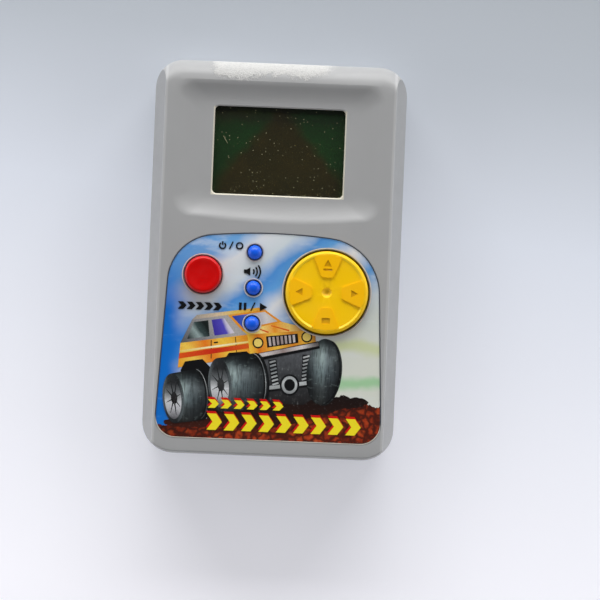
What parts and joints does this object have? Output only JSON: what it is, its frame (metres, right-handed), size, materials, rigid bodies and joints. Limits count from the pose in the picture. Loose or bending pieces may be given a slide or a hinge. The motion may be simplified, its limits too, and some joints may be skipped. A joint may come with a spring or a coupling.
{
  "type": "handheld lcd game",
  "caption": "Pocket electronic game with a framed LCD, a printed faceplate, a rocking direction pad, push buttons and a sliding battery door.",
  "frame": {"origin": "centre of the flat back face, which rests on the table", "axes": "+X to the player's right seen from the front, +Y towards the screen end, +Z out of the front face"},
  "size_m": [0.08, 0.125, 0.0236],
  "materials": {
    "case_grey": "fine matt moulded texture",
    "case_back_grey": "fine matt moulded texture",
    "printed_film": "printed polyester film under a thin clear coat",
    "clear_window": "clear moulded acrylic",
    "polariser": "grey polarising film",
    "lcd_glass": "polished thin glass",
    "backdrop_print": "printed card",
    "white_abs": "plain moulded plastic",
    "zebra_rubber": "layered silicone rubber",
    "board_laminate": "green solder resist on fibre laminate",
    "epoxy": "glossy black epoxy",
    "capacitor_sleeve": "shrunk plastic sleeve",
    "resistor_body": "lacquered",
    "crystal_can": "drawn metal can",
    "screw_steel": "zinc plated",
    "piezo_brass": "rolled disc",
    "piezo_white": "fired ceramic with a thin silver layer",
    "wire_red": "soft plastic insulation",
    "wire_black": "soft plastic insulation",
    "contact_nickel": "nickel plated spring steel",
    "cell_jacket": "plain printed cell jacket with bare steel ends",
    "red_button": "glossy moulded plastic",
    "blue_key": "glossy moulded plastic",
    "yellow_pad": "satin moulded plastic",
    "silicone_grey": "soft silicone",
    "carbon": "conductive carbon rubber"
  },
  "bodies": {
    "case": {"front_shell": "case_grey", "rear_shell": "case_back_grey", "faceplate": "printed_film", "screen_window": "clear_window", "lcd_front_polariser": "polariser", "lcd_front_glass": "lcd_glass", "lcd_rear_glass": "lcd_glass", "lcd_rear_polariser": "polariser", "backdrop_card": "backdrop_print", "lcd_holder": "white_abs", "zebra_strip": "zebra_rubber", "main_board": "board_laminate", "chip_blob": "epoxy", "board_capacitor": "capacitor_sleeve", "board_resistors": "resistor_body", "board_crystal": "crystal_can", "board_screws": "screw_steel", "piezo_plate": "piezo_brass", "piezo_ceramic": "piezo_white", "piezo_wire_red": "wire_red", "piezo_wire_black": "wire_black", "battery_wire_red": "wire_red", "battery_wire_black": "wire_black", "contact_plus": "contact_nickel", "contact_minus": "contact_nickel", "contact_minus_spring": "contact_nickel", "contact_bridge": "contact_nickel", "contact_bridge_spring": "contact_nickel", "cell_upper": "cell_jacket", "cell_lower": "cell_jacket", "pad_mat": "silicone_grey", "turbo_mat": "silicone_grey", "keys_mat": "silicone_grey", "case_screws": "screw_steel"},
    "turbo_button": {"turbo_button": "red_button", "turbo_pill": "carbon"},
    "power_key": {"power_key": "blue_key", "power_pill": "carbon"},
    "sound_key": {"sound_key": "blue_key", "sound_pill": "carbon"},
    "pause_key": {"pause_key": "blue_key", "pause_pill": "carbon"},
    "pad_pivot": {"pad_pivot": "white_abs"},
    "direction_pad": {"direction_pad": "yellow_pad", "pad_pills": "carbon"},
    "battery_door": {"battery_door": "case_back_grey"}
  },
  "joints": [
    {"name": "turbo_press", "type": "slide", "parent": "case", "child": "turbo_button", "axis": [0, 0, -1], "range_m": [0, 0.001], "stiffness_N_per_m": 700, "deforming": ["turbo_mat"]},
    {"name": "power_press", "type": "slide", "parent": "case", "child": "power_key", "axis": [0, 0, -1], "range_m": [0, 0.0008], "stiffness_N_per_m": 600, "deforming": ["keys_mat"]},
    {"name": "sound_press", "type": "slide", "parent": "case", "child": "sound_key", "axis": [0, 0, -1], "range_m": [0, 0.0008], "stiffness_N_per_m": 600},
    {"name": "pause_press", "type": "slide", "parent": "case", "child": "pause_key", "axis": [0, 0, -1], "range_m": [0, 0.0008], "stiffness_N_per_m": 600},
    {"name": "pad_tilt_up_down", "type": "hinge", "parent": "case", "child": "pad_pivot", "pos_m": [0.017, -0.0096, 0.0175], "axis": [1, 0, 0], "range_deg": [-3, 3], "stiffness_Nm_per_rad": 0.25, "deforming": ["pad_mat"]},
    {"name": "pad_tilt_left_right", "type": "hinge", "parent": "pad_pivot", "child": "direction_pad", "pos_m": [0.017, -0.0096, 0.0175], "axis": [0, 1, 0], "range_deg": [-3, 3], "stiffness_Nm_per_rad": 0.25},
    {"name": "door_slide", "type": "slide", "parent": "case", "child": "battery_door", "axis": [0, -1, 0], "range_m": [0, 0.038]}
  ]
}
